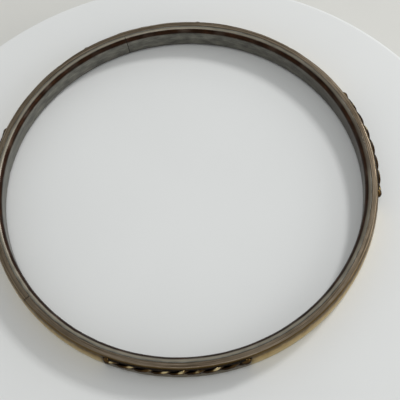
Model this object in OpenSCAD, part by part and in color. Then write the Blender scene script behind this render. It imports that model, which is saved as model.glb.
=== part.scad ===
// Bangle bracelet: a closed two-layer band with four short lengths of twisted
// wire soldered into a shallow channel round its outside.
// The origin is the centre of the wrist opening, half-way up the band, and +Z
// runs along the opening's axis. Sizes are in millimetres, angles in degrees
// anticlockwise from +X, seen from above.

/* [Band] */
// Diameter of the wrist opening
inner_d = 63.5; // [50:0.1:80]
// Height of the band along the opening's axis
band_h = 4.9; // [3.6:0.1:12]
// Thickness of the white-metal liner
liner_t = 1.15; // [0.5:0.05:2]
// Thickness of the solder between liner and outer band
sweat_t = 0.05; // [0.03:0.01:0.15]
// Thickness of the brass outer band at its upper and lower edges
outer_t = 0.95; // [0.95:0.05:3]
// How far the outer band is domed beyond its edges
crown = 0.3; // [0.1:0.05:0.8]
// Radius of the liner's rounded inner edges
inner_edge_r = 1; // [0.1:0.05:1.1]
// Chamfer filed on the outer band's edges
edge_break = 0.12; // [0.05:0.01:0.3]

/* [Seams] */
// Width of the soldered butt seams
seam_w = 0.12; // [0.06:0.01:0.3]
// Where the liner's seam crosses the band
liner_seam_at = 110; // [0:1:359]
// Slant of the liner's seam from upright
liner_seam_slant = -4; // [-35:1:35]
// Where the outer band's seam crosses it
outer_seam_at = 221; // [208:1:240]
// Slant of the outer band's seam from upright
outer_seam_slant = 8; // [0:1:20]

/* [Twisted wire] */
// Diameter of one wire
wire_d = 0.68; // [0.4:0.02:0.84]
// Gap left between the two wires of a rope
wire_gap = 0.02; // [0.01:0.01:0.05]
// Length of rope in which a wire goes once round
twist_pitch = 5.8; // [4:0.1:9]
// Depth of the rope's centre line under the band's upper rim
rope_drop = 1.35; // [1.3:0.05:2]
// How far the rope's centre line stands outside the band's upper edge
rope_out = 0.05; // [0.05:0.05:0.5]
// How far the melted ball at each end reaches past the wires, which is also the
// thickness of the solder that they lie in
ball_over = 0.1; // [0.04:0.01:0.15]
// Height that the solder stands above the band beside the rope
bed_lip = 0.1; // [0.02:0.01:0.2]

/* [Rope places] */
// First and last angle of the front rope
front_from = 250; // [242:1:256]
front_to = 288.8; // [280:0.1:306]
// First and last angle of the right rope
right_from = -4; // [-17:1:3]
right_to = 31; // [23:1:43]
// First and last angle of the back rope
back_from = 86; // [77:1:92]
back_to = 123; // [112:1:132]
// First and last angle of the left rope
left_from = 161; // [153:1:168]
left_to = 199; // [188:1:204]

/* [Hidden] */
$fn = 96;

// Radii of the layers, from the wrist outwards
bore_r = inner_d / 2;
liner_r = bore_r + liner_t;
core_r = liner_r + sweat_t;
edge_r = core_r + outer_t;
crown_r = edge_r + crown;

// The dome is an arc through both outer edges and the crown
half_h = band_h / 2;
dome_r = (half_h * half_h + crown * crown) / (2 * crown);
dome_x = crown_r - dome_r;

// The rope's centre line, the space round it, and the angle that a length spans
fit_gap = 0.01;
wire_r = wire_d / 2;
coil_r = wire_r + wire_gap / 2;
rope_r = coil_r + wire_r;
rope_track_r = edge_r + rope_out;
rope_z = half_h - rope_drop;
ball_r = rope_r + ball_over;
bed_in_r = rope_r + fit_gap;
channel_r = ball_r + fit_gap;
function span(length) = length / rope_track_r * 180 / PI;

// Facets of a wire: sides round it, and rings in each turn of the twist
wire_sides = 8;
turn_rings = 12;

// First and last angle of each rope, in the order front, right, back, left
ropes = [[front_from, front_to], [right_from, right_to],
    [back_from, back_to], [left_from, left_to]];

// Section of the liner: a flat strip with rounded inner edges
module liner_section() {
    flat_h = band_h - 2 * inner_edge_r;
    intersection() {
        translate([bore_r, -half_h]) square([liner_t, band_h]);
        union() {
            translate([bore_r, -flat_h / 2]) square([liner_t, flat_h]);
            translate([bore_r + inner_edge_r, -half_h]) square([liner_t, band_h]);
            for (side = [-1, 1])
                translate([bore_r + inner_edge_r, side * flat_h / 2]) circle(r = inner_edge_r);
        }
    }
}

// Section of the outer band: flat inside, domed outside, with filed edges
module outer_section() {
    difference() {
        intersection() {
            translate([core_r, -half_h]) square([outer_t + crown, band_h]);
            translate([dome_x, 0]) circle(r = dome_r, $fn = 360);
        }
        for (side = [-1, 1])
            translate([edge_r, side * half_h]) rotate(45)
                square(edge_break * sqrt(2), center = true);
    }
}

// A thin slab that crosses the band at one angle, for cutting and filling a seam
module seam_slab(at, slant, width) {
    rotate(at) translate([(bore_r + crown_r) / 2, 0, 0]) rotate([slant, 0, 0])
        cube([outer_t + liner_t + 4 * crown + 2, width, band_h * 2], center = true);
}

// A flat shape carried along the band from one angle to another
module along_band(from, to) {
    rotate(from) rotate_extrude(angle = to - from) children();
}

// The round-bottomed channel that holds a rope and both its balls
module channel(rope) {
    reach = span(ball_r + fit_gap);
    along_band(rope[0] - reach, rope[1] + reach)
        translate([rope_track_r, rope_z]) circle(r = channel_r);
}

module liner_band() {
    color("silver") difference() {
        rotate_extrude() liner_section();
        seam_slab(liner_seam_at, liner_seam_slant, seam_w);
    }
}

module liner_seam() {
    color("dimgray") intersection() {
        rotate_extrude() liner_section();
        seam_slab(liner_seam_at, liner_seam_slant, seam_w);
    }
}

module band_solder() {
    color("lightgray") rotate_extrude()
        translate([liner_r, -half_h]) square([sweat_t, band_h]);
}

module outer_band() {
    color("darkgoldenrod") difference() {
        rotate_extrude() outer_section();
        seam_slab(outer_seam_at, outer_seam_slant, seam_w);
        for (rope = ropes) channel(rope);
    }
}

module outer_seam() {
    color("khaki") intersection() {
        rotate_extrude() outer_section();
        seam_slab(outer_seam_at, outer_seam_slant, seam_w);
    }
}

// Solder under one rope: a trough round the wires, from ball to ball
module rope_solder(rope) {
    inset = span(ball_r);
    color("dimgray") along_band(rope[0] + inset, rope[1] - inset) intersection() {
        translate([rope_track_r, rope_z]) difference() {
            circle(r = channel_r);
            circle(r = bed_in_r);
        }
        translate([dome_x, 0]) circle(r = dome_r + bed_lip, $fn = 360);
    }
}

// One wire of a rope: a round wire whose centre winds round the rope's track.
// phase is 0 for one wire and 180 for the other. A whole number of half turns
// fits between the balls' centres, so that both ends of the rope look alike.
module rope_wire(rope, phase) {
    half_turns = round((rope[1] - rope[0]) / span(twist_pitch / 2));
    lead = half_turns * 180 / (rope[1] - rope[0]);
    rings = half_turns * turn_rings / 2;
    // How far a wire leans from the track, and how far that tips its end
    lean = atan(coil_r * lead / rope_track_r);
    end_tip = wire_r * sin(lean) / 2;
    from = rope[0] + span(ball_r + end_tip);
    step = (rope[0] + rope[1] - 2 * from) / rings;
    points = [for (i = [0:rings]) for (j = [0:wire_sides - 1])
        let (turn = phase + (from + i * step - rope[0]) * lead,
             round_wire = turn + j * 360 / wire_sides,
             out = coil_r * cos(turn) + wire_r * cos(round_wire),
             up = coil_r * sin(turn) + wire_r * sin(round_wire),
             // the wire's section is square to the wire, not to the track
             along = -wire_r * sin(round_wire - turn) * sin(lean),
             at = from + i * step + span(along))
        [(rope_track_r + out) * cos(at), (rope_track_r + out) * sin(at), rope_z + up]];
    skin = [for (i = [0:rings - 1]) for (j = [0:wire_sides - 1])
        let (k = (j + 1) % wire_sides, a = i * wire_sides, b = a + wire_sides)
        each [[a + j, a + k, b + k], [a + j, b + k, b + j]]];
    last = rings * wire_sides;
    first_cap = [[for (j = [wire_sides - 1:-1:0]) j]];
    last_cap = [[for (j = [0:wire_sides - 1]) last + j]];
    color("goldenrod") polyhedron(points, concat(skin, first_cap, last_cap));
}

module wire_ball(at) {
    color("goldenrod") rotate(at) translate([rope_track_r, 0, rope_z]) sphere(r = ball_r);
}

liner_band();
liner_seam();
band_solder();
outer_band();
outer_seam();
rope_wire(ropes[0], 0);  // front_rope_wire_a
rope_wire(ropes[0], 180);  // front_rope_wire_b
wire_ball(front_from);  // front_rope_left_ball
wire_ball(front_to);  // front_rope_right_ball
rope_solder(ropes[0]);  // front_rope_solder
rope_wire(ropes[1], 0);  // right_rope_wire_a
rope_wire(ropes[1], 180);  // right_rope_wire_b
wire_ball(right_from);  // right_rope_near_ball
wire_ball(right_to);  // right_rope_far_ball
rope_solder(ropes[1]);  // right_rope_solder
rope_wire(ropes[2], 0);  // back_rope_wire_a
rope_wire(ropes[2], 180);  // back_rope_wire_b
wire_ball(back_from);  // back_rope_right_ball
wire_ball(back_to);  // back_rope_left_ball
rope_solder(ropes[2]);  // back_rope_solder
rope_wire(ropes[3], 0);  // left_rope_wire_a
rope_wire(ropes[3], 180);  // left_rope_wire_b
wire_ball(left_from);  // left_rope_far_ball
wire_ball(left_to);  // left_rope_near_ball
rope_solder(ropes[3]);  // left_rope_solder
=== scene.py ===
# %% [markdown]
# # A slim brass bangle with twisted-wire ropes
#
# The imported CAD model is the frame: every piece below takes its place and size
# from the CAD nodes' boxes, so that nothing has to be fitted afterwards. Lengths
# in this script are in millimetres until a mesh is made, because a jeweller
# works in millimetres and Blender's scene is in metres.

# %% The frame
import math
from collections import namedtuple

import bpy
import numpy as np
from mathutils import Matrix, Vector


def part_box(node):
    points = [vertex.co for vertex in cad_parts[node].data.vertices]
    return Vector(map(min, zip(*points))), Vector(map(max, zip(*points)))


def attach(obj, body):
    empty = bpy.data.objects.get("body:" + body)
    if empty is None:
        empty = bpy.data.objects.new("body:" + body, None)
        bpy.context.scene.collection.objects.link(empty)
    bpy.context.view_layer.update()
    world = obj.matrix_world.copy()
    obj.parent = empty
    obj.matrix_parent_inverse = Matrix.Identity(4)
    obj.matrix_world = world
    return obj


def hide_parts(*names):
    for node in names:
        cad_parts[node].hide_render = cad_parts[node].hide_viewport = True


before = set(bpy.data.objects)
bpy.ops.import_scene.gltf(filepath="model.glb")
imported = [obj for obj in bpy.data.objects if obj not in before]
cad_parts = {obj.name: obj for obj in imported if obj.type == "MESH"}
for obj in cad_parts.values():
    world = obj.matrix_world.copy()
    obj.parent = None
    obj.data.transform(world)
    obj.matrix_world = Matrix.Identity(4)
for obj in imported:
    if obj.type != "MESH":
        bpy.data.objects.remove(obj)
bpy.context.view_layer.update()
MM = 0.001

# %% [markdown]
# ## The camera
#
# A bangle on a table is small, so it is looked at from close by with a long
# lens: 90 mm on a full-size sensor at about 18 cm. The camera looks down
# steeply and is tipped a little, as a hand-held one is. A rotation made from
# the three axes of the view says this without any constraint or target object.

# %% The camera
VIEW_ELEVATION = math.radians(63.5)
VIEW_AZIMUTH = math.radians(-5.9)
VIEW_ROLL = math.radians(-6.0)
VIEW_DISTANCE = 178.2
AIM = Vector((2.94, -1.48, -2.45))
LENS = 90.0
NEAREST = 10.0


def view_axes(azimuth, elevation, roll):
    """Right, up and back axes of a view: back points from the aim to the camera,
    right is level, and then both turn about back by the roll."""
    back = Vector((-math.sin(azimuth) * math.cos(elevation),
                   -math.cos(azimuth) * math.cos(elevation),
                   math.sin(elevation)))
    level = Vector((0, 0, 1)).cross(back).normalized()
    upright = back.cross(level)
    right = level * math.cos(roll) + upright * math.sin(roll)
    return right, back.cross(right), back


view_right, view_up, view_back = view_axes(VIEW_AZIMUTH, VIEW_ELEVATION, VIEW_ROLL)
camera_data = bpy.data.cameras.new("camera")
camera_data.lens = LENS
camera_data.clip_start = NEAREST * MM
camera = bpy.data.objects.new("camera", camera_data)
bpy.context.scene.collection.objects.link(camera)
stand = (AIM + view_back * VIEW_DISTANCE) * MM
turn = Matrix((view_right, view_up, view_back)).transposed().to_4x4()
camera.matrix_world = Matrix.Translation(stand) @ turn
bpy.context.scene.camera = camera
print("camera at", [round(c, 4) for c in stand])

# %% [markdown]
# ## Sizes read from the frame
#
# The CAD nodes already hold every size but one. The liner's box gives the band's
# height and the bore, the outer band's box gives the crown of the dome, and the
# balls and wires give each rope's ends and thickness. The broken edge of the rim
# is too small to read from a box, so its width is repeated here.


# %% Sizes read from the frame
def node_points(name):
    """All vertices of a CAD node, as an array in millimetres."""
    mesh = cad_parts[name].data
    points = np.empty(len(mesh.vertices) * 3)
    mesh.vertices.foreach_get("co", points)
    return points.reshape(-1, 3) / MM


def reach(points):
    """Distance of each point from the opening's axis: the root of x² + y²."""
    return np.hypot(points[:, 0], points[:, 1])


liner_points = node_points("liner_band")
outer_points = node_points("outer_band")
HALF_H = liner_points[:, 2].max()
BORE_R = reach(liner_points).min()
CORE_R = reach(outer_points).min()
LINER_R = reach(liner_points).max()
CROWN_R = reach(outer_points).max()
on_bore = reach(liner_points) < BORE_R + 1e-3
WORN_R = HALF_H - liner_points[on_bore, 2].max()
BREAK = 0.12
on_rim = outer_points[:, 2] > HALF_H - 1e-3
EDGE_R = reach(outer_points[on_rim]).max() + BREAK
ROPES = ["front", "right", "back", "left"]
Track = namedtuple("Track", "first last radius height ball_r wire_reach")


def rope_track(name):
    """A rope's track: its first and last angle in radians, its radius and height,
    the balls' radius, and how far the wires reach from the track, all from the
    boxes of its two balls and from the points of a wire."""
    centres, radii = [], []
    for ball in sorted(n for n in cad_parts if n.startswith(name) and n.endswith("ball")):
        low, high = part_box(ball)
        centres.append((low + high) / 2 / MM)
        radii.append((high.z - low.z) / 2 / MM)
    first, last = [math.atan2(c.y, c.x) for c in centres]
    if (last - first) % (2 * math.pi) > math.pi:
        first, last = last, first
    last = first + (last - first) % (2 * math.pi)
    radius = centres[0].xy.length
    wire = node_points(name + "_rope_wire_a")
    wire_reach = np.hypot(reach(wire) - radius, wire[:, 2] - centres[0].z).max()
    return Track(first, last, radius, centres[0].z, radii[0], wire_reach)


TRACKS = {name: rope_track(name) for name in ROPES}
print("bore %.2f, liner %.2f, core %.2f, edge %.2f, crown %.2f, half height %.2f"
      % (BORE_R, LINER_R, CORE_R, EDGE_R, CROWN_R, HALF_H))
for name, track in TRACKS.items():
    print("%s rope from %.1f to %.1f degrees" % (name, *np.degrees(track[:2])))
    print("  radius %.2f, height %.2f, ball %.2f, wires %.2f" % track[2:])

# %% [markdown]
# ## From a grid of points to a mesh
#
# Everything on this bangle is a section carried along a path: the two strips
# that make the band, the wires of the ropes, the solder beside them. So one
# helper is enough. It joins each point of a grid to the next in both
# directions. A section always goes round; a path either comes back to its start,
# as the band does, or ends in two small flat ends, as a wire does. The whole
# grid is one numpy array, which keeps it quick for tens of thousands of points.


# %% From a grid of points to a mesh
def grid_quads(rows, columns, path_closes):
    """Row and column numbers of each quad's corners, (i, j), (i+1, j), (i+1, j+1),
    (i, j+1), not yet wrapped round."""
    i = np.arange(rows if path_closes else rows - 1)[:, None, None]
    j = np.arange(columns)[None, :, None]
    down = (i + np.array([0, 1, 1, 0])).repeat(columns, axis=1)
    over = (j + np.array([0, 0, 1, 1])).repeat(down.shape[0], axis=0)
    return down.reshape(-1, 4), over.reshape(-1, 4)


def enclosed_volume(points, quads):
    """Signed volume of a closed skin: the sum of a . (b x c) / 6 over its triangles."""
    a, b, c, d = (points[quads[:, k]] for k in range(4))
    return (np.einsum("ij,ij", a, np.cross(b, c)) + np.einsum("ij,ij", a, np.cross(c, d))) / 6


def skin_mesh(name, points, path_closes, along, across, paint):
    """A closed mesh through a grid of points (rows, columns, 3) in millimetres.
    along and across place each row and column on the metal strip, in millimetres,
    for the UV map named strip; paint maps a name to one number per point."""
    rows, columns = points.shape[:2]
    down, over = grid_quads(rows, columns, path_closes)
    quads = (down % rows) * columns + over % columns
    flat = points.reshape(-1, 3)
    u = np.append(along, 2 * along[-1] - along[-2])[down]
    v = np.append(across, 2 * across[-1] - across[-2])[over]
    if enclosed_volume(flat, quads) < 0:
        quads, u, v = quads[:, ::-1], u[:, ::-1], v[:, ::-1]
        ends = [range(columns), range(rows * columns - 1, (rows - 1) * columns - 1, -1)]
    else:
        ends = [range(columns - 1, -1, -1), range((rows - 1) * columns, rows * columns)]
    faces = quads.tolist() + ([] if path_closes else [list(end) for end in ends])
    mesh = bpy.data.meshes.new(name)
    mesh.from_pydata((flat * MM).tolist(), [], faces)
    uv = np.zeros((len(mesh.loops), 2), np.float32)
    uv[:u.size] = np.stack([u, v], axis=-1).reshape(-1, 2)
    mesh.uv_layers.new(name="strip").data.foreach_set("uv", uv.reshape(-1))
    for key, values in paint.items():
        values = np.broadcast_to(values, points.shape[:2]).astype(np.float32)
        attribute = mesh.attributes.new(key, "FLOAT", "POINT")
        attribute.data.foreach_set("value", values.reshape(-1))
    mesh.polygons.foreach_set("use_smooth", np.ones(len(mesh.polygons), bool))
    return mesh


def piece(name, points, material_slot, replaced, path_closes=False,
          along=None, across=None, **paint):
    """Makes the object for a skin, at the origin, riding on the one body."""
    rows, columns = points.shape[:2]
    along = np.arange(rows) if along is None else along
    across = np.arange(columns) if across is None else across
    mesh = skin_mesh(name, points, path_closes, along, across, paint)
    made = bpy.data.objects.new(name, mesh)
    bpy.context.scene.collection.objects.link(made)
    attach(made, "root")
    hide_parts(*replaced)
    print("%s: %d faces" % (name, len(mesh.polygons)))
    return made


print("a ring of 5 sections of 4 points has %d faces" % len(grid_quads(5, 4, True)[0]))

# %% [markdown]
# ## Hand-made unevenness
#
# A machine-perfect ring looks like a drawing. The real band was rolled, bent,
# soldered and filed by hand, so its surface wanders by a few hundredths of a
# millimetre and has small knocks. A sum of a few sine waves that fit the
# circumference a whole number of times gives a wander with no join, and a dent is
# a smooth dimple, deepest in its middle. All of it is seeded, so that it comes
# out the same every time.


# %% Hand-made unevenness
def wander(angle, seed, slowest=2, fastest=14, count=6):
    """A wave between about -1 and 1: the mean of count sines, each going round the
    ring a whole number of times, with seeded phases."""
    random = np.random.default_rng(seed)
    turns = random.integers(slowest, fastest + 1, count)
    phases = random.uniform(0, 2 * np.pi, count)
    return np.sin(turns * np.asarray(angle)[..., None] + phases).mean(axis=-1) * 1.6


def nearest_turn(angle):
    """The same angle, brought between -pi and pi."""
    return (angle + np.pi) % (2 * np.pi) - np.pi


def dents(angle, across, seed, count, span, size=(0.25, 0.7), depth=(0.01, 0.04)):
    """Depth of seeded dimples at each point: the sum of depth * exp(-d²/size²),
    where d is the distance over the strip, along at the edge radius and across."""
    random = np.random.default_rng(seed)
    places = random.uniform([0, span[0]], [2 * np.pi, span[1]], (count, 2))
    sizes = random.uniform(*size, count)
    depths = random.uniform(*depth, count)
    total = np.zeros(np.broadcast(angle, across).shape)
    for (at, over), wide, deep in zip(places, sizes, depths):
        gap = nearest_turn(angle - at)
        total += deep * np.exp(-((gap * EDGE_R) ** 2 + (across - over) ** 2) / wide ** 2)
    return total


one_wander = wander(np.linspace(0, 2 * np.pi, 720), 1)
print("a wander runs from %.2f to %.2f" % (one_wander.min(), one_wander.max()))

# %% [markdown]
# ## Outlines and places
#
# A section is a list of points, each a distance out from the bangle's axis and a
# height, with arcs where the metal is round. Its own length, point by point,
# tells a material where it is across the strip. A smooth step says where one
# surface fades into another, so that no stain ends in a hard line.


# %% Outlines and places
def step(x, low, high):
    """Smooth step: 0 below low, 1 above high, 3t² - 2t³ between."""
    t = np.clip((x - low) / (high - low), 0, 1)
    return t * t * (3 - 2 * t)


def arc(centre, radius, start, end, count):
    """Points on a circle arc, (radius out, height), angles in degrees."""
    turn = np.radians(np.linspace(start, end, count))
    return np.stack([centre[0] + radius * np.cos(turn), centre[1] + radius * np.sin(turn)], 1)


def line(start, end, count):
    """Evenly spaced points from start up to, but not at, end."""
    t = np.arange(count)[:, None] / count
    return np.array(start) * (1 - t) + np.array(end) * t


def strip_lengths(section):
    """Distance of each point of a section from its first, along the section."""
    steps = np.linalg.norm(np.diff(section, axis=0), axis=1)
    return np.concatenate([[0], np.cumsum(steps)])


def around(out, height, angle):
    """Grid points from radius, height and angle: (r cos a, r sin a, z)."""
    out, height, angle = np.broadcast_arrays(out, height, angle)
    return np.stack([out * np.cos(angle), out * np.sin(angle), height], axis=-1)


quarter = strip_lengths(arc((0, 0), WORN_R, 0, 90, 24))[-1]
print("the worn edge is %.2f mm wide over its curve" % quarter)

# %% [markdown]
# ## The liner
#
# The inside of the bangle is a flat strip of nickel silver, bent into a ring and
# butt-soldered. Years on a wrist have worn its inner edges round. It could be a
# revolved outline, but then the wear would be the same all the way round. Here
# the section is a loop of points, and its rows differ a little: the grid starts
# and ends at the butt seam, so that the metal's grain breaks there, as on a real
# bent strip.
#
# Three numbers go with each point for the colour. Edge is the brown tarnish of the
# rounded edges. Polish-and-highlight is a lighter strip where the upper edge starts
# to turn: partly metal rubbed bright, partly a painted highlight. Dark side makes
# one side of the bore darker and browner.

# %% The liner
STATIONS = 900
LINER_SEAM_AT = math.atan2(*reversed(node_points("liner_seam").mean(axis=0)[:2]))
BROWN_FROM, BROWN_FULL = 16, 34
WIPED_FROM, WIPED_MOST = 68, 90
POLISH_FROM, POLISH_FULL = -2, 4
POLISH_LEAVES, POLISH_GONE = 14, 30
VEIL_AT = math.radians(12)
VEIL_SPREAD = math.radians(38)


def liner_section():
    """The liner's outline, from the outer corner of the upper rim inwards, down
    the bore, and back up outside: straights joined by quarter circles."""
    flat = HALF_H - WORN_R
    pivot = BORE_R + WORN_R
    return np.vstack([
        line((LINER_R, HALF_H), (pivot, HALF_H), 3),
        arc((pivot, flat), WORN_R, 90, 180, 24)[:-1],
        line((BORE_R, flat), (BORE_R, -flat), 26),
        arc((pivot, -flat), WORN_R, 180, 270, 24)[:-1],
        line((pivot, -HALF_H), (LINER_R, -HALF_H), 3),
        line((LINER_R, -HALF_H), (LINER_R, HALF_H), 3)])


def edge_turn(out, height):
    """How far a rounded inner edge has turned, in degrees: 0 where the rim ends
    and 90 where the bore's wall starts."""
    return np.degrees(np.arctan2(BORE_R + WORN_R - out, np.abs(height) - (HALF_H - WORN_R)))


def edge_tarnish(out, height):
    """Brown from BROWN_FULL to WIPED_FROM on both edges, and none on the wall
    just below the upper one."""
    turned = edge_turn(out, height)
    brown = np.where(out < BORE_R + WORN_R, step(turned, BROWN_FROM, BROWN_FULL), 0)
    brown = brown * (1 - 0.9 * step(turned, WIPED_FROM, WIPED_MOST))
    below = step(HALF_H - WORN_R - height, -0.05, 0.35)
    return np.where(height > 0, brown * (1 - below), brown)


def edge_polish(out, height):
    """1 where the upper rim starts to turn over, fading out before the brown: a strip of rubbed
    metal that also carries a painted highlight.
    """
    turned = edge_turn(out, height)
    strip = step(turned, POLISH_FROM, POLISH_FULL) * (1 - step(turned, POLISH_LEAVES, POLISH_GONE))
    return np.where((out < BORE_R + WORN_R + 0.08) & (height > 0), strip, 0)


def liner():
    """The liner's section at every station, its bore wandering by a hundredth of
    a millimetre or two and dimpled."""
    section = liner_section()
    angle = LINER_SEAM_AT + np.arange(STATIONS)[:, None] * 2 * np.pi / STATIONS
    out, height = section[:, 0], section[:, 1]
    inside = step(LINER_R - out, 0.02, 0.2)
    dimple = dents(angle, height, 3, 90, (-HALF_H, HALF_H)) * inside
    bump = 0.012 * wander(angle, 4, 3, 40) * inside
    brown = edge_tarnish(out, height) * (1 + 0.12 * wander(angle, 6, 5, 60))
    # Lighter strip at the upper edge: rubbed metal, and also a painted highlight.
    polish = edge_polish(out, height) * (1 + 0.3 * wander(angle, 12, 8, 90))
    # Darker, browner colour over one side of the bore.
    film = 0.55 * np.exp(-(nearest_turn(angle - VEIL_AT) / VEIL_SPREAD) ** 2)
    film = film * (1 + 0.4 * wander(angle, 9, 5, 30))
    return piece("liner", around(out + dimple + bump, height, angle), "liner_metal",
                 ["liner_band"], path_closes=True,
                 along=(angle[:, 0] - LINER_SEAM_AT) * BORE_R, across=strip_lengths(section),
                 edge=np.clip(brown, 0, 1), polish=polish, veil=np.clip(film, 0, 1))


liner_piece = liner()

# %% [markdown]
# ## The outer band
#
# The brass band is a strip with a low dome outside. Its rims were filed flat
# together with the liner's, and its sharp edges broken with a few strokes. Four
# round-bottomed channels hold the ropes. They could be cut with a Boolean, but
# its new faces would lose the strip's map. Here they are worked out in the same
# grid: wherever a point of the wall would stand outside the channel's round
# bottom, it is drawn in to it.

# %% The band's outline and its channels
OUTER_SEAM_AT = math.atan2(*reversed(node_points("outer_seam").mean(axis=0)[:2]))
CROWN = CROWN_R - EDGE_R
DOME_R = (HALF_H ** 2 + CROWN ** 2) / (2 * CROWN)
SINK = 0.01
JOINT_ZONE = 0.2
print("the dome's radius is %.1f mm" % DOME_R)


def outer_section():
    """The outer band's outline: along the upper rim, round the broken edge, down
    the dome's arc, back along the lower rim, and up the joint with the liner."""
    tilt = math.degrees(math.asin((HALF_H - BREAK) / DOME_R))
    dome = arc((CROWN_R - DOME_R, 0), DOME_R, tilt, -tilt, 66)
    return np.vstack([
        line((CORE_R, HALF_H), (EDGE_R - BREAK, HALF_H), 14),
        line((EDGE_R - BREAK, HALF_H), dome[0], 4),
        dome,
        line(dome[-1], (EDGE_R - BREAK, -HALF_H), 4)[1:],
        line((EDGE_R - BREAK, -HALF_H), (CORE_R, -HALF_H), 10),
        line((CORE_R, -HALF_H), (CORE_R, HALF_H), 3)])


def past_end(angle, track):
    """How far each angle lies past a rope's nearer end, in millimetres along its
    track, and below zero beside the rope."""
    middle = (track.first + track.last) / 2
    half = (track.last - track.first) / 2 + track.ball_r / track.radius
    return (np.abs(nearest_turn(angle - middle)) - half) * track.radius


def channel_reach(height, angle, track):
    """How far out the band may stand: the channel's round bottom,
    track radius - sqrt(R² - (z - track height)²), with no limit past its ends."""
    radius = track.ball_r + SINK
    off = np.clip(np.abs(height - track.height) / radius, 0, 1)
    bottom = track.radius - radius * np.sqrt(1 - off ** 2)
    outside = step(past_end(angle, track), -0.1, 0.15)
    return bottom + (track.radius + radius - bottom) * np.maximum(outside, off >= 1)


# %% [markdown]
# ## Painted rope shade
#
# The wall beside each rope is painted darker, as the shade that the rope casts on
# it. The shade is a number at each point: full beside each rope, and gone a
# millimetre past its ends. The filed rim is left clean.


# %% The painted rope shade and the outer band
def heat_stain(angle, height):
    """How far painted rope shade darkens the wall: 1 all along a rope, from
    just under the rim down, fading out within a millimetre past its ends."""
    stain = np.zeros(np.broadcast(angle, height).shape)
    for track in TRACKS.values():
        past = past_end(angle, track) + 0.3 * wander(angle, 31, 20, 90)
        beside = 1 - step(past, -0.4, 0.9)
        below_rim = 1 - step(height, HALF_H - 0.25, HALF_H - 0.05)
        stain = np.maximum(stain, beside * below_rim)
    return stain


def outer():
    """The outer band's section at every station, with channels, file flats on the
    rims' outer edges, and dimples on the wall."""
    section = outer_section()
    across = strip_lengths(section)
    angle = OUTER_SEAM_AT + np.arange(STATIONS)[:, None] * 2 * np.pi / STATIONS
    out, height = section[:, 0], section[:, 1]
    outside = step(out - CORE_R, 0.05, 0.3)
    dimple = dents(angle, across, 8, 160, (0, across[-1] / 2 + 1)) * outside
    filed = step(out, EDGE_R - 0.35, EDGE_R) * step(np.abs(height), HALF_H - 0.5, HALF_H)
    filed = filed * (0.03 + 0.03 * wander(angle, 11, 4, 40))
    wall = out - dimple - filed
    for track in TRACKS.values():
        limit = channel_reach(height, angle, track)
        wall = np.minimum(wall, np.where(out > CORE_R + JOINT_ZONE, limit, np.inf))
    points = around(wall, height - np.sign(height) * filed * 0.6, angle)
    # The last attribute is painted shade of the ropes on the wall.
    return piece("outer", points, "band_brass", ["outer_band"], path_closes=True,
                 along=(angle[:, 0] - OUTER_SEAM_AT) * EDGE_R, across=across,
                 rim=step(np.abs(height), HALF_H - 0.1, HALF_H - 0.02) + 0 * angle,
                 scorch=heat_stain(angle, height))


outer_piece = outer()

# %% [markdown]
# ## The ropes
#
# Each rope is two wires twisted round each other. The centre of a wire winds
# round the rope's track, which is a circle round the band, and the wire's round
# section is carried along it. A curve object with a bevel could do this, but a
# grid leaves the section free: the outer crests are rubbed a little flat, which
# makes them shine together with a painted highlight. Each wire also gets two
# numbers per point for its colour: how near it is to the upper outside of the
# rope, where it is lighter, partly as rubbed metal and partly as a painted
# highlight, and how deep it lies.

# %% The twisted wires
WIRE_SIDES = 28
RINGS_PER_TURN = 44
TWIST_PITCH = 5.8
WIRE_GAP = 0.01
RUB = 0.035
RUB_KEPT = 0.35


def beside_track(angle, track, out, up):
    """Grid points beside a rope's track: out from the bangle's axis, and up."""
    return around(track.radius + out, track.height + up, angle)


def rope_wire(name, node, track, phase, seed):
    """One wire: its centre at angle t along the track is coil * (cos w, sin w)
    out and up, with w = phase + lead * t, and its skin is a circle about that,
    squeezed in by the rub on the outside."""
    length = track.last - track.first
    half_turns = round(length * track.radius / (TWIST_PITCH / 2))
    lead = half_turns * np.pi / length
    wire_r = (track.wire_reach - WIRE_GAP) / 2
    coil = track.wire_reach - wire_r
    tuck = 0.5 * track.ball_r / track.radius
    count = int(half_turns / 2 * RINGS_PER_TURN)
    t = np.linspace(track.first + tuck, track.last - tuck, count)[:, None]
    loose = 0.35 * wander(t, seed, 5, 21) * np.sin(np.pi * (t - track.first) / length)
    turn = phase + (t - track.first) * lead + loose
    side = np.linspace(0, 2 * np.pi, WIRE_SIDES, endpoint=False)[None, :] + turn
    radius = wire_r * (1 + 0.03 * wander(t, seed + 1, 10, 60))
    out = coil * np.cos(turn) + radius * np.cos(side)
    up = coil * np.sin(turn) + radius * np.sin(side)
    distance = np.hypot(out, up)
    rubbed_r = track.wire_reach - RUB
    rubbed = np.where(distance > rubbed_r, rubbed_r + RUB_KEPT * (distance - rubbed_r), distance)
    squeeze = rubbed / distance
    lean = np.arctan(coil * lead / track.radius)
    along = -radius * np.sin(side - turn) * np.sin(lean) / track.radius
    points = beside_track(t + along, track, out * squeeze, up * squeeze)
    # Lighter crest on the wire's upper outer side: partly rubbed metal, partly a painted highlight
    # of the lamp above.
    crest = step(distance / track.wire_reach, 0.72, 0.98)
    crest = crest * step((0.35 * out + up) / track.wire_reach, 0.5, 1.02)
    crest = crest * (0.35 + 0.65 * step(wander(t, seed + 2, 20, 90), -0.5, 0.6))
    return piece(name, points, "rope_brass", [node], crest=crest,
                 hollow=1 - step(distance / track.wire_reach, 0.15, 0.75),
                 along=t[:, 0] * track.radius,
                 across=np.linspace(0, 2 * np.pi * wire_r, WIRE_SIDES))


# %% [markdown]
# ## The melted ends
#
# A torch held to the end of the rope melts both wires into one ball, so that no
# sharp end is left. A ball is a sphere on a small grid, with its poles along the
# rope, a neck drawn out towards the wires, and a slight lumpiness of its own. An
# icosphere would need the same edits with no rows and columns to make them by.


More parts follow.
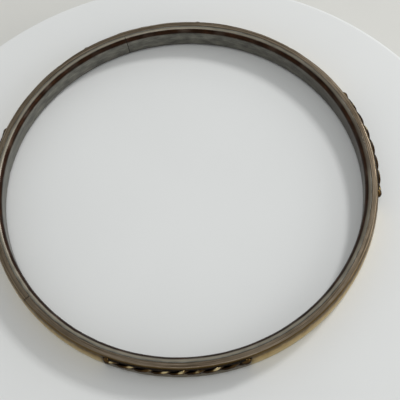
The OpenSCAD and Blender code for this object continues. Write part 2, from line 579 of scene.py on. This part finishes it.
# %% The melted ends
def melted_ball(name, node, track, at, inward, seed):
    """A sphere of the CAD ball's size: along is R cos p, and the radius about it
    is R sin p times the lumps, with a neck added on the inward half."""
    polar = np.linspace(0.02, np.pi - 0.02, 40)[:, None]
    side = np.linspace(0, 2 * np.pi, 40, endpoint=False)[None, :]
    lumps = 1 - 0.03 + 0.03 * np.sin(2 * polar + seed) * np.sin(side * 2 + seed)
    radius = track.ball_r * lumps * np.sin(polar)
    neck = 0.35 * np.clip(np.cos(polar), 0, 1) ** 2 * track.ball_r
    along = (track.ball_r * np.cos(polar) + neck) * inward
    points = beside_track(at + along / track.radius, track,
                          radius * np.cos(side), radius * np.sin(side))
    # Painted highlight, partly rubbed metal, on the upper outer side of the ball.
    crest = 0.5 * step(0.35 * np.cos(side) + np.sin(side), 0.8, 1.06) * np.sin(polar)
    return piece(name, points, "rope_brass", [node], crest=crest, hollow=0 * crest)


# %% [markdown]
# ## The solder, and all four ropes
#
# Molten solder runs under the wires and climbs their sides, more here and less
# there. Its section is a crescent between two arcs, and the two lips wander as
# the section goes along. The same four functions then make every rope.

# %% The solder, and all four ropes
SOLDER_STATIONS = 260
SOLDER_DEPTH = 0.24
UPPER_LIP = 72
LOWER_LIP = 288
LIP_WANDER = 10


def solder_trough(name, node, track, seed):
    """Solder under and beside the wires: a crescent section, from the channel's
    bottom in to part of the wires' depth, whose two lips creep up the wires by an
    uneven amount, thinner at both ends."""
    tuck = 0.3 * track.ball_r / track.radius
    t = np.linspace(track.first + tuck, track.last - tuck, SOLDER_STATIONS)[:, None]
    ends = np.sin(np.pi * (t - t[0]) / (t[-1] - t[0]))
    thick = 0.3 + 0.7 * step(ends, 0, 0.08)
    upper = np.radians(UPPER_LIP + LIP_WANDER * wander(t, seed, 10, 80))
    lower = np.radians(LOWER_LIP - LIP_WANDER * wander(t, seed + 1, 10, 80))
    share = np.linspace(0, 1, 22)[None, :]
    outer_arc = upper + (lower - upper) * share
    inner_arc = lower - 0.08 + (upper - lower + 0.16) * share
    channel = track.ball_r + SINK * 0.5
    floor = channel - SOLDER_DEPTH * thick
    radius = np.hstack([np.broadcast_to(channel, outer_arc.shape), floor + 0 * inner_arc])
    turn = np.hstack([outer_arc, inner_arc])
    points = beside_track(t, track, radius * np.cos(turn), radius * np.sin(turn))
    return piece(name, points, "silver_solder", [node], along=t[:, 0] * track.radius,
                 across=strip_lengths(points[0]))


def make_rope(name, seed):
    """Both wires, both balls and, last, the solder of one rope."""
    track = TRACKS[name]
    made = [rope_wire("%s_twisted_wire_%s" % (name, side), "%s_rope_wire_%s" % (name, side),
                      track, phase, seed) for side, phase in (("a", 0), ("b", np.pi))]
    for node in sorted(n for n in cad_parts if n.startswith(name) and n.endswith("ball")):
        low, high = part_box(node)
        middle = (low + high) / 2
        at = track.first + nearest_turn(math.atan2(middle.y, middle.x) - track.first)
        inward = 1 if at < (track.first + track.last) / 2 else -1
        ball_name = node.replace("_rope_", "_melted_")
        made.append(melted_ball(ball_name, node, track, at, inward, seed))
    made.append(solder_trough(name + "_solder_trough", name + "_rope_solder", track, seed + 3))
    return made


rope_pieces = {name: make_rope(name, 20 + 10 * k) for k, name in enumerate(ROPES)}

# %% [markdown]
# ## Colours and nodes
#
# Colours are written as sRGB hex values, as a paint chart gives them, and turned
# to the linear values that light adds up in. One small function adds a node,
# sets it and links it, and each finish below is a short list of such nodes.


# %% Colours and nodes
def linear(hex_colour):
    """sRGB hex to linear RGBA: x / 12.92 below 0.04045, ((x + 0.055) / 1.055)^2.4 above."""
    parts = [int(hex_colour[k:k + 2], 16) / 255 for k in (1, 3, 5)]
    return [x / 12.92 if x <= 0.04045 else ((x + 0.055) / 1.055) ** 2.4 for x in parts] + [1.0]


def add(tree, kind, inputs=None, stops=None, **settings):
    """Adds one node. settings are its own properties, inputs maps a socket's name
    or number to a value or to another node's output, and stops are a ramp's
    (place, colour) pairs."""
    node = tree.nodes.new("ShaderNode" + kind)
    for key, value in settings.items():
        setattr(node, key, value)
    for key, value in (inputs or {}).items():
        if isinstance(value, bpy.types.NodeSocket):
            tree.links.new(value, node.inputs[key])
        else:
            node.inputs[key].default_value = value
    if stops:
        ramp = node.color_ramp.elements
        while len(ramp) < len(stops):
            ramp.new(0.5)
        for element, (place, colour) in zip(ramp, stops):
            element.position = place
            element.color = linear(colour)
    return node


def finish(name):
    """A new material with an empty tree and its output node."""
    material = bpy.data.materials.new(name)
    material.use_nodes = True
    tree = material.node_tree
    tree.nodes.clear()
    return material, tree, add(tree, "OutputMaterial")


def coat(pieces, material):
    """Gives pieces their material."""
    for made in pieces:
        made.data.materials.clear()
        made.data.materials.append(material)
    print("%s on %d pieces" % (material.name, len(pieces)))


print("mid grey, #808080, is %.3f in linear light" % linear("#808080")[0])

# %% [markdown]
# ## Nickel silver, worn and tarnished
#
# The liner is nickel silver: a grey-white metal of copper, nickel and zinc. It
# was rolled smooth, then rubbed dull on the wrist, so it is cloudy, with blots of
# grey a millimetre or two across and fine scratches along the strip. On its worn
# inner edges sweat has left a dark red-brown tarnish, which is no longer bare
# metal. The scratches are drawn 0.14 mm apart, coarser than real ones, so that
# they show. A texture picture could hold all this, but noise on the strip's own
# map in millimetres stays sharp from any distance.

# %% Nickel silver
SCRATCHES_PER_MM = (0.3, 7.0, 1.0)
CLOUDS_PER_MM = (0.5, 1.1, 1.0)
RELIEF = 0.02


def nickel_silver():
    """Blots and scratches from noise on the strip's own map, in millimetres, painted
    shade towards the foot from the object's height, a strip of rubbed metal and
    painted highlight and a darker side from attributes, and brown tarnish where the
    edge attribute says so."""
    material, tree, output = finish("nickel_silver_worn")
    strip = add(tree, "UVMap", uv_map="strip").outputs[0]
    scratches_at = add(tree, "Mapping", {"Vector": strip, "Scale": SCRATCHES_PER_MM}).outputs[0]
    clouds_at = add(tree, "Mapping", {"Vector": strip, "Scale": CLOUDS_PER_MM}).outputs[0]
    blots = add(tree, "TexNoise", {"Vector": clouds_at, "Scale": 0.8, "Detail": 6.0,
                                   "Roughness": 0.6}).outputs[0]
    scratches = add(tree, "TexNoise", {"Vector": scratches_at, "Scale": 1.0,
                                       "Detail": 3.0}).outputs[0]
    grey = add(tree, "ValToRGB", {"Fac": blots},
               stops=[(0.30, "#605f59"), (0.50, "#7c7b73"), (0.70, "#96948a")]).outputs[0]
    lined = add(tree, "ValToRGB", {"Fac": scratches},
                stops=[(0.35, "#bdbbb6"), (0.65, "#ffffff")]).outputs[0]
    metal = add(tree, "MixRGB", {"Fac": 0.6, "Color1": grey, "Color2": lined},
                blend_type="MULTIPLY").outputs[0]
    place = add(tree, "TexCoord").outputs["Object"]
    height = add(tree, "SeparateXYZ", {"Vector": place}).outputs[2]
    # Painted shade: the bore darkens towards its foot, where it stands on the plate.
    foot = add(tree, "MapRange", {"Value": height, "From Min": (-HALF_H + 0.35) * MM,
                                  "From Max": (-HALF_H + 1.1) * MM, "To Min": 0.75,
                                  "To Max": 0.0}).outputs[0]
    metal = add(tree, "MixRGB", {"Fac": foot, "Color1": metal,
                                 "Color2": linear("#3a3932")}).outputs[0]
    # Lighter strip at the upper edge: rubbed metal and a painted highlight.
    polish = add(tree, "Attribute", attribute_name="polish").outputs["Fac"]
    metal = add(tree, "MixRGB", {"Fac": polish, "Color1": metal,
                                 "Color2": linear("#938c7d")}).outputs[0]
    # Darker, browner colour over one side of the bore.
    veil = add(tree, "Attribute", attribute_name="veil").outputs["Fac"]
    metal = add(tree, "MixRGB", {"Fac": veil, "Color1": metal,
                                 "Color2": linear("#3d3026")}).outputs[0]
    edge = add(tree, "Attribute", attribute_name="edge").outputs["Fac"]
    brown = add(tree, "ValToRGB", {"Fac": blots},
                stops=[(0.35, "#1d0f06"), (0.55, "#2c190b"), (0.75, "#43291a")]).outputs[0]
    colour = add(tree, "MixRGB", {"Fac": edge, "Color1": metal, "Color2": brown}).outputs[0]
    bare = add(tree, "MapRange", {"Value": edge, "To Min": 1.0, "To Max": 0.9}).outputs[0]
    rough = add(tree, "MapRange", {"Value": blots, "From Min": 0.3, "From Max": 0.7,
                                   "To Min": 0.3, "To Max": 0.42}).outputs[0]
    bump = add(tree, "Bump", {"Strength": 0.25, "Distance": RELIEF * MM,
                              "Height": scratches}).outputs[0]
    shader = add(tree, "BsdfPrincipled", {"Base Color": colour, "Metallic": bare,
                                          "Roughness": rough, "Normal": bump})
    tree.links.new(shader.outputs[0], output.inputs[0])
    return material


coat([liner_piece], nickel_silver())

# %% [markdown]
# ## Brass, filed and tarnished
#
# The outer band is brass. Its rims were filed flat and have since gone a dull
# grey-brown, with the file's long strokes still showing as fine lines. The wall
# was polished, is darkest at the top, is painted darker beside the ropes as their
# shade, and is clean gold along its lower edge. File strokes are about a dozen
# millimetres long and 0.2 mm apart.

# %% Brass
STROKES_PER_MM = (0.08, 5.5, 1.0)
FINE_LINES_PER_MM = (0.5, 16.0, 1.0)


def brass_band():
    """File strokes on the rims, a height ramp and painted rope shade on the wall, and blots over
    both.
    """
    material, tree, output = finish("brass_filed_and_tarnished")
    strip = add(tree, "UVMap", uv_map="strip").outputs[0]
    strokes_at = add(tree, "Mapping", {"Vector": strip, "Scale": STROKES_PER_MM}).outputs[0]
    fine_at = add(tree, "Mapping", {"Vector": strip, "Scale": FINE_LINES_PER_MM}).outputs[0]
    blots = add(tree, "TexNoise", {"Vector": strip, "Scale": 0.7, "Detail": 5.0,
                                   "Roughness": 0.6}).outputs[0]
    strokes = add(tree, "TexNoise", {"Vector": strokes_at, "Scale": 1.0,
                                     "Detail": 2.0}).outputs[0]
    fine = add(tree, "TexNoise", {"Vector": fine_at, "Scale": 1.0, "Detail": 2.0}).outputs[0]
    rim_colour = add(tree, "ValToRGB", {"Fac": strokes},
                     stops=[(0.30, "#594c3d"), (0.50, "#766a5a"), (0.70, "#998b79")]).outputs[0]
    place = add(tree, "TexCoord").outputs["Object"]
    height = add(tree, "SeparateXYZ", {"Vector": place}).outputs[2]
    level = add(tree, "MapRange", {"Value": height, "From Min": -HALF_H * MM,
                                   "From Max": HALF_H * MM}).outputs[0]
    unsettled = add(tree, "MixRGB", {"Fac": 0.25, "Color1": level, "Color2": blots},
                    blend_type="ADD").outputs[0]
    wall_colour = add(tree, "ValToRGB", {"Fac": unsettled},
                      stops=[(0.18, "#dcc88e"), (0.50, "#d0b676"), (0.80, "#b2955a"),
                             (0.98, "#5f4a24")]).outputs[0]
    # Painted shade of the ropes: the wall beside them is mixed towards dark brown.
    scorch = add(tree, "Attribute", attribute_name="scorch").outputs["Fac"]
    scorch = add(tree, "Math", {0: scorch, 1: 0.85}, operation="MULTIPLY").outputs[0]
    wall_colour = add(tree, "MixRGB", {"Fac": scorch, "Color1": wall_colour,
                                       "Color2": linear("#3a2d17")}).outputs[0]
    rim = add(tree, "Attribute", attribute_name="rim").outputs["Fac"]
    colour = add(tree, "MixRGB", {"Fac": rim, "Color1": wall_colour,
                                  "Color2": rim_colour}).outputs[0]
    lined = add(tree, "ValToRGB", {"Fac": fine},
                stops=[(0.35, "#b0aca6"), (0.65, "#ffffff")]).outputs[0]
    colour = add(tree, "MixRGB", {"Fac": 0.5, "Color1": colour, "Color2": lined},
                 blend_type="MULTIPLY").outputs[0]
    rough = add(tree, "MapRange", {"Value": blots, "From Min": 0.3, "From Max": 0.7,
                                   "To Min": 0.3, "To Max": 0.46}).outputs[0]
    bump = add(tree, "Bump", {"Strength": 0.3, "Distance": RELIEF * MM, "Height": fine}).outputs[0]
    shader = add(tree, "BsdfPrincipled", {"Base Color": colour, "Metallic": 1.0,
                                          "Roughness": rough, "Normal": bump})
    tree.links.new(shader.outputs[0], output.inputs[0])
    return material


coat([outer_piece], brass_band())

# %% [markdown]
# ## Brass wire, dark in its hollows
#
# Drawn brass wire is smooth and round. Tarnish fills what a cloth can't reach,
# so the wires are nearly black where they cross and lie against the band. Along
# the upper side of their outer crests they are lighter, partly rubbed bright and
# partly a painted highlight.

# %% Brass wire
def brass_wire():
    """From black-brown in the hollows through dark gold to lighter crests, partly rubbed metal and
    partly a painted highlight on their upper side.
    """
    material, tree, output = finish("brass_wire_tarnished")
    strip = add(tree, "UVMap", uv_map="strip").outputs[0]
    blots = add(tree, "TexNoise", {"Vector": strip, "Scale": 2.2, "Detail": 4.0})
    # Crest number: rubbed metal and a painted highlight on the upper side.
    crest = add(tree, "Attribute", attribute_name="crest").outputs["Fac"]
    hollow = add(tree, "Attribute", attribute_name="hollow").outputs["Fac"]
    rubbed = add(tree, "MixRGB", {"Fac": 0.3, "Color1": crest, "Color2": blots.outputs[0]},
                 blend_type="OVERLAY").outputs[0]
    # The lightest stop colours the crests: rubbed metal and painted highlight.
    gold = add(tree, "ValToRGB", {"Fac": rubbed},
               stops=[(0.0, "#2b1e10"), (0.5, "#4e3a1f"), (1.0, "#cdbb8e")]).outputs[0]
    colour = add(tree, "MixRGB", {"Fac": hollow, "Color1": gold,
                                  "Color2": linear("#0c0703")}).outputs[0]
    rough = add(tree, "MapRange", {"Value": crest, "To Min": 0.26, "To Max": 0.2}).outputs[0]
    shader = add(tree, "BsdfPrincipled", {"Base Color": colour, "Metallic": 1.0,
                                          "Roughness": rough})
    tree.links.new(shader.outputs[0], output.inputs[0])
    return material


wire_finish = brass_wire()
for rope in rope_pieces.values():
    coat(rope[:-1], wire_finish)

# %% [markdown]
# ## Solder
#
# The solder that holds the ropes, and that fills the joint and the two seams,
# is a silver alloy that froze as it flowed: dull, slightly lumpy, and stained
# dark because nothing has rubbed it since. The joint and the seams are plain
# slivers, so their CAD meshes are shown as they are, in this finish.

# %% Solder
LUMP = 0.35


def solder_metal():
    """Dull grey-brown metal with lumps of a third of a millimetre."""
    material, tree, output = finish("silver_solder_stained")
    place = add(tree, "TexCoord").outputs["Object"]
    lumps = add(tree, "TexNoise", {"Vector": place, "Scale": 1 / (LUMP * MM),
                                   "Detail": 4.0}).outputs[0]
    colour = add(tree, "ValToRGB", {"Fac": lumps},
                 stops=[(0.35, "#0e0905"), (0.6, "#1f1710"), (0.8, "#3d3226")]).outputs[0]
    bump = add(tree, "Bump", {"Strength": 0.5, "Distance": 2 * RELIEF * MM,
                              "Height": lumps}).outputs[0]
    shader = add(tree, "BsdfPrincipled", {"Base Color": colour, "Metallic": 0.8,
                                          "Roughness": 0.5, "Normal": bump})
    tree.links.new(shader.outputs[0], output.inputs[0])
    return material


solder = solder_metal()
for rope in rope_pieces.values():
    coat(rope[-1:], solder)
coat([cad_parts[name] for name in ("band_solder", "liner_seam", "outer_seam")], solder)

# %% [markdown]
# ## Plate and table
#
# The bangle lies on a round white plate, 11 cm across, on a pale table. The plate
# is a short profile carried round a circle, by the same idea as the bangle's own
# sections, and the table is one flat square. Both are painted smooth and dull.

# %% Plate and table
PLATE_R = 54.8
PLATE_CENTRE = (-0.1, -8.2)
PLATE_H = 9.0
TABLE_SIZE = 1500
MOTTLE = 25


def smooth_paint(name, colour):
    """Smooth white paint, slightly mottled so that it isn't one flat colour."""
    material, tree, output = finish(name)
    place = add(tree, "TexCoord").outputs["Object"]
    cloud = add(tree, "TexNoise", {"Vector": place, "Scale": 1 / (MOTTLE * MM),
                                   "Detail": 3.0}).outputs[0]
    shade = add(tree, "MapRange", {"Value": cloud, "To Min": 0.97, "To Max": 1.03}).outputs[0]
    tone = add(tree, "HueSaturation", {"Color": linear(colour), "Value": shade}).outputs[0]
    shader = add(tree, "BsdfPrincipled", {"Base Color": tone, "Roughness": 0.6})
    tree.links.new(shader.outputs[0], output.inputs[0])
    return material


def staged(name, corners, faces, material):
    """A mesh that belongs to the stage and not to the bangle."""
    mesh = bpy.data.meshes.new(name)
    mesh.from_pydata((np.array(corners) * MM).tolist(), [], faces)
    mesh.materials.append(material)
    made = bpy.data.objects.new(name, mesh)
    bpy.context.scene.collection.objects.link(made)
    print("%s: %d faces" % (name, len(mesh.polygons)))
    return made


def round_plate(sides=160):
    """A disc under the bangle: its top, a rounded edge one millimetre deep, and a
    wall down to the table."""
    turn = np.linspace(0, 2 * np.pi, sides, endpoint=False)
    rows = [(PLATE_R - 0.6, -HALF_H), (PLATE_R - 0.15, -HALF_H - 0.15),
            (PLATE_R, -HALF_H - 0.6), (PLATE_R, -HALF_H - PLATE_H)]
    corners = np.concatenate([np.stack([PLATE_CENTRE[0] + r * np.cos(turn),
                                        PLATE_CENTRE[1] + r * np.sin(turn),
                                        z + 0 * turn], axis=-1) for r, z in rows])
    i = np.arange(sides)
    n = (i + 1) % sides
    walls = [np.stack([low + n, low + i, low + sides + i, low + sides + n], 1)
             for low in range(0, (len(rows) - 1) * sides, sides)]
    return staged("plate", corners, [list(i)] + np.concatenate(walls).tolist(),
                  smooth_paint("plate_enamel", "#d9dad9"))


def table_top():
    """A flat square under the plate."""
    low = -HALF_H - PLATE_H
    half = TABLE_SIZE / 2
    corners = [(-half, -half, low), (half, -half, low), (half, half, low), (-half, half, low)]
    return staged("table_top", corners, [(0, 1, 2, 3)], smooth_paint("table_paint", "#cfcec9"))


round_plate()
table_top()

# %% [markdown]
# ## Light
#
# The light is nearly the same from everywhere, as under a white ceiling, which is
# why the metal looks dark and quiet: it mirrors an even grey, a little brighter
# near the horizon than overhead. Three soft lights do the rest. A small lamp
# straight above draws the glints on the wires, a second one behind on the right
# draws the bright line along the near left shoulder, and a low window on the
# right lights the left wall. A picture of a room could light it too, but a few
# named lights are easier to change.


# %% Light
def soft_light(name, azimuth, elevation, distance, size, watts):
    """A square area light that faces the bangle, placed by the two angles in
    degrees (azimuth from +X towards +Y) and its distance in metres."""
    data = bpy.data.lights.new(name, "AREA")
    data.shape = "SQUARE"
    data.size = size
    data.energy = watts
    made = bpy.data.objects.new(name, data)
    bpy.context.scene.collection.objects.link(made)
    around_z, up_by = math.radians(azimuth), math.radians(elevation)
    made.location = Vector((math.cos(around_z) * math.cos(up_by),
                            math.sin(around_z) * math.cos(up_by), math.sin(up_by))) * distance
    made.rotation_euler = (-made.location).to_track_quat("-Z", "Y").to_euler()
    print("%s: %.2f W" % (name, watts))
    return made


def even_sky(colour, at_horizon, overhead, overhead_from):
    """A world of one colour whose strength falls in a straight line from the
    horizon to overhead_from, the upward part of the direction, and then stays."""
    world = bpy.data.worlds.new("room")
    bpy.context.scene.world = world
    world.use_nodes = True
    tree = world.node_tree
    tree.nodes.clear()
    direction = add(tree, "TexCoord").outputs["Generated"]
    upward = add(tree, "SeparateXYZ", {"Vector": direction}).outputs[2]
    strength = add(tree, "MapRange", {"Value": upward, "From Min": 0.0,
                                      "From Max": overhead_from, "To Min": at_horizon,
                                      "To Max": overhead}).outputs[0]
    room = add(tree, "Background", {"Color": linear(colour), "Strength": strength}).outputs[0]
    add(tree, "OutputWorld", {"Surface": room})
    print("sky from %.2f at the horizon to %.2f overhead" % (at_horizon, overhead))


even_sky("#fafcfc", 1.05, 0.46, 0.8)
soft_light("ceiling_lamp", -90, 80, 0.6, 0.08, 0.35)
soft_light("lamp_behind_right", 45, 44, 0.6, 0.1, 1.3)
soft_light("window_on_the_right", 0, 24, 0.6, 0.3, 0.6)
bpy.context.scene.view_settings.view_transform = "Standard"
